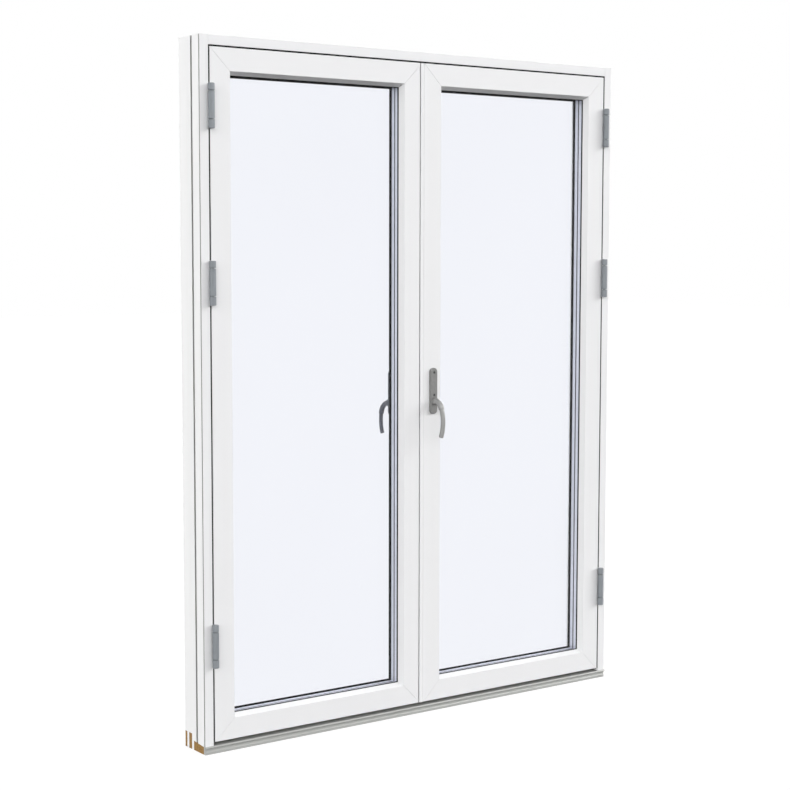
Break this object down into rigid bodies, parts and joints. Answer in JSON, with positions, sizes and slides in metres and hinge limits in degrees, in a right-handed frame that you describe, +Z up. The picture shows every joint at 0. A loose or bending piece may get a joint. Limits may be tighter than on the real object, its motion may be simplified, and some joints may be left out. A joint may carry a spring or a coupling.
{
  "type": "french doors",
  "caption": "White aluminium-clad glazed french doors that swing outward in their frame, with lever handles, rod locks and a metal threshold.",
  "frame": {"origin": "middle of the sill's underside, halfway through the frame's depth", "axes": "+X along the doors to the right seen from outside, +Y from outside to inside, +Z up"},
  "size_m": [1.58, 0.2332, 2.08],
  "materials": {
    "white_metal": "smooth satin white coating on aluminium",
    "white_timber": "opaque satin white paint on timber",
    "bare_timber": "bare oiled timber",
    "threshold_metal": "brushed along its length",
    "hinge_metal": "satin silver plating",
    "handle_metal": "satin, fine grain",
    "lock_steel": "zinc plated",
    "spacer_metal": "plain",
    "black_rubber": "matt",
    "grey_rubber": "matt",
    "block_plastic": "moulded",
    "glass": "clear float glass"
  },
  "bodies": {
    "frame": {"jamb_left": "white_timber", "jamb_right": "white_timber", "frame_head": "white_timber", "sill": "bare_timber", "jamb_cover_left": "white_metal", "jamb_cover_right": "white_metal", "head_cover": "white_metal", "threshold_cover": "threshold_metal", "frame_seal": "black_rubber", "outer_frame_seal": "black_rubber", "rod_keepers": "lock_steel", "left_frame_hinges": "hinge_metal", "right_frame_hinges": "hinge_metal", "hinge_pins": "hinge_metal"},
    "left_leaf": {"left_hinge_stile": "white_timber", "left_meeting_stile": "white_timber", "left_top_rail": "white_timber", "left_bottom_rail": "white_timber", "left_clad_hinge_side": "white_metal", "left_clad_meeting_side": "white_metal", "left_clad_top": "white_metal", "left_clad_bottom": "white_metal", "left_glass_panes": "glass", "left_glass_spacers": "spacer_metal", "left_glass_gaskets": "black_rubber", "left_glass_blocks": "block_plastic", "left_lock_case": "lock_steel", "left_leaf_hinges": "hinge_metal", "left_inner_plate": "handle_metal", "left_plate_screws": "handle_metal"},
    "left_handle": {"left_inner_lever": "handle_metal", "left_spindle": "lock_steel", "left_lock_follower": "lock_steel"},
    "left_top_rod": {"left_top_rod": "lock_steel"},
    "left_bottom_rod": {"left_bottom_rod": "lock_steel"},
    "right_leaf": {"right_hinge_stile": "white_timber", "right_meeting_stile": "white_timber", "right_top_rail": "white_timber", "right_bottom_rail": "white_timber", "right_clad_hinge_side": "white_metal", "right_clad_meeting_side": "white_metal", "right_clad_top": "white_metal", "right_clad_bottom": "white_metal", "right_glass_panes": "glass", "right_glass_spacers": "spacer_metal", "right_glass_gaskets": "black_rubber", "right_glass_blocks": "block_plastic", "right_lock_case": "lock_steel", "right_leaf_hinges": "hinge_metal", "right_inner_plate": "handle_metal", "right_plate_screws": "handle_metal", "right_outer_plate": "handle_metal", "right_cover_strip": "white_metal", "right_meeting_seal": "grey_rubber"},
    "right_handle": {"right_inner_lever": "handle_metal", "right_spindle": "lock_steel", "right_lock_follower": "lock_steel", "right_outer_lever": "handle_metal"},
    "right_top_rod": {"right_top_rod": "lock_steel"},
    "right_bottom_rod": {"right_bottom_rod": "lock_steel"}
  },
  "joints": [
    {"name": "left_leaf_swing", "type": "hinge", "parent": "frame", "child": "left_leaf", "pos_m": [-0.7596, -0.0717, 1.04], "axis": [0, 0, -1], "range_deg": [0, 170], "deforming": ["right_meeting_seal"]},
    {"name": "right_leaf_swing", "type": "hinge", "parent": "frame", "child": "right_leaf", "pos_m": [0.7596, -0.0717, 1.04], "axis": [0, 0, 1], "range_deg": [0, 170], "deforming": ["right_meeting_seal"]},
    {"name": "left_handle_turn", "type": "hinge", "parent": "left_leaf", "child": "left_handle", "pos_m": [-0.045, 0, 0.988], "axis": [0, 1, 0], "range_deg": [0, 90]},
    {"name": "right_handle_turn", "type": "hinge", "parent": "right_leaf", "child": "right_handle", "pos_m": [0.0405, 0, 0.997], "axis": [0, -1, 0], "range_deg": [0, 90]},
    {"name": "left_top_rod_slide", "type": "slide", "parent": "left_leaf", "child": "left_top_rod", "axis": [0, 0, 1], "range_m": [0, 0.02]},
    {"name": "left_bottom_rod_slide", "type": "slide", "parent": "left_leaf", "child": "left_bottom_rod", "axis": [0, 0, -1], "range_m": [0, 0.02]},
    {"name": "right_top_rod_slide", "type": "slide", "parent": "right_leaf", "child": "right_top_rod", "axis": [0, 0, 1], "range_m": [0, 0.02]},
    {"name": "right_bottom_rod_slide", "type": "slide", "parent": "right_leaf", "child": "right_bottom_rod", "axis": [0, 0, -1], "range_m": [0, 0.02]}
  ],
  "couplings": [
    {"joint": "left_top_rod_slide", "follows": "left_handle_turn", "m_per_rad": 0.012732},
    {"joint": "left_bottom_rod_slide", "follows": "left_handle_turn", "m_per_rad": 0.012732},
    {"joint": "right_top_rod_slide", "follows": "right_handle_turn", "m_per_rad": 0.012732},
    {"joint": "right_bottom_rod_slide", "follows": "right_handle_turn", "m_per_rad": 0.012732}
  ]
}
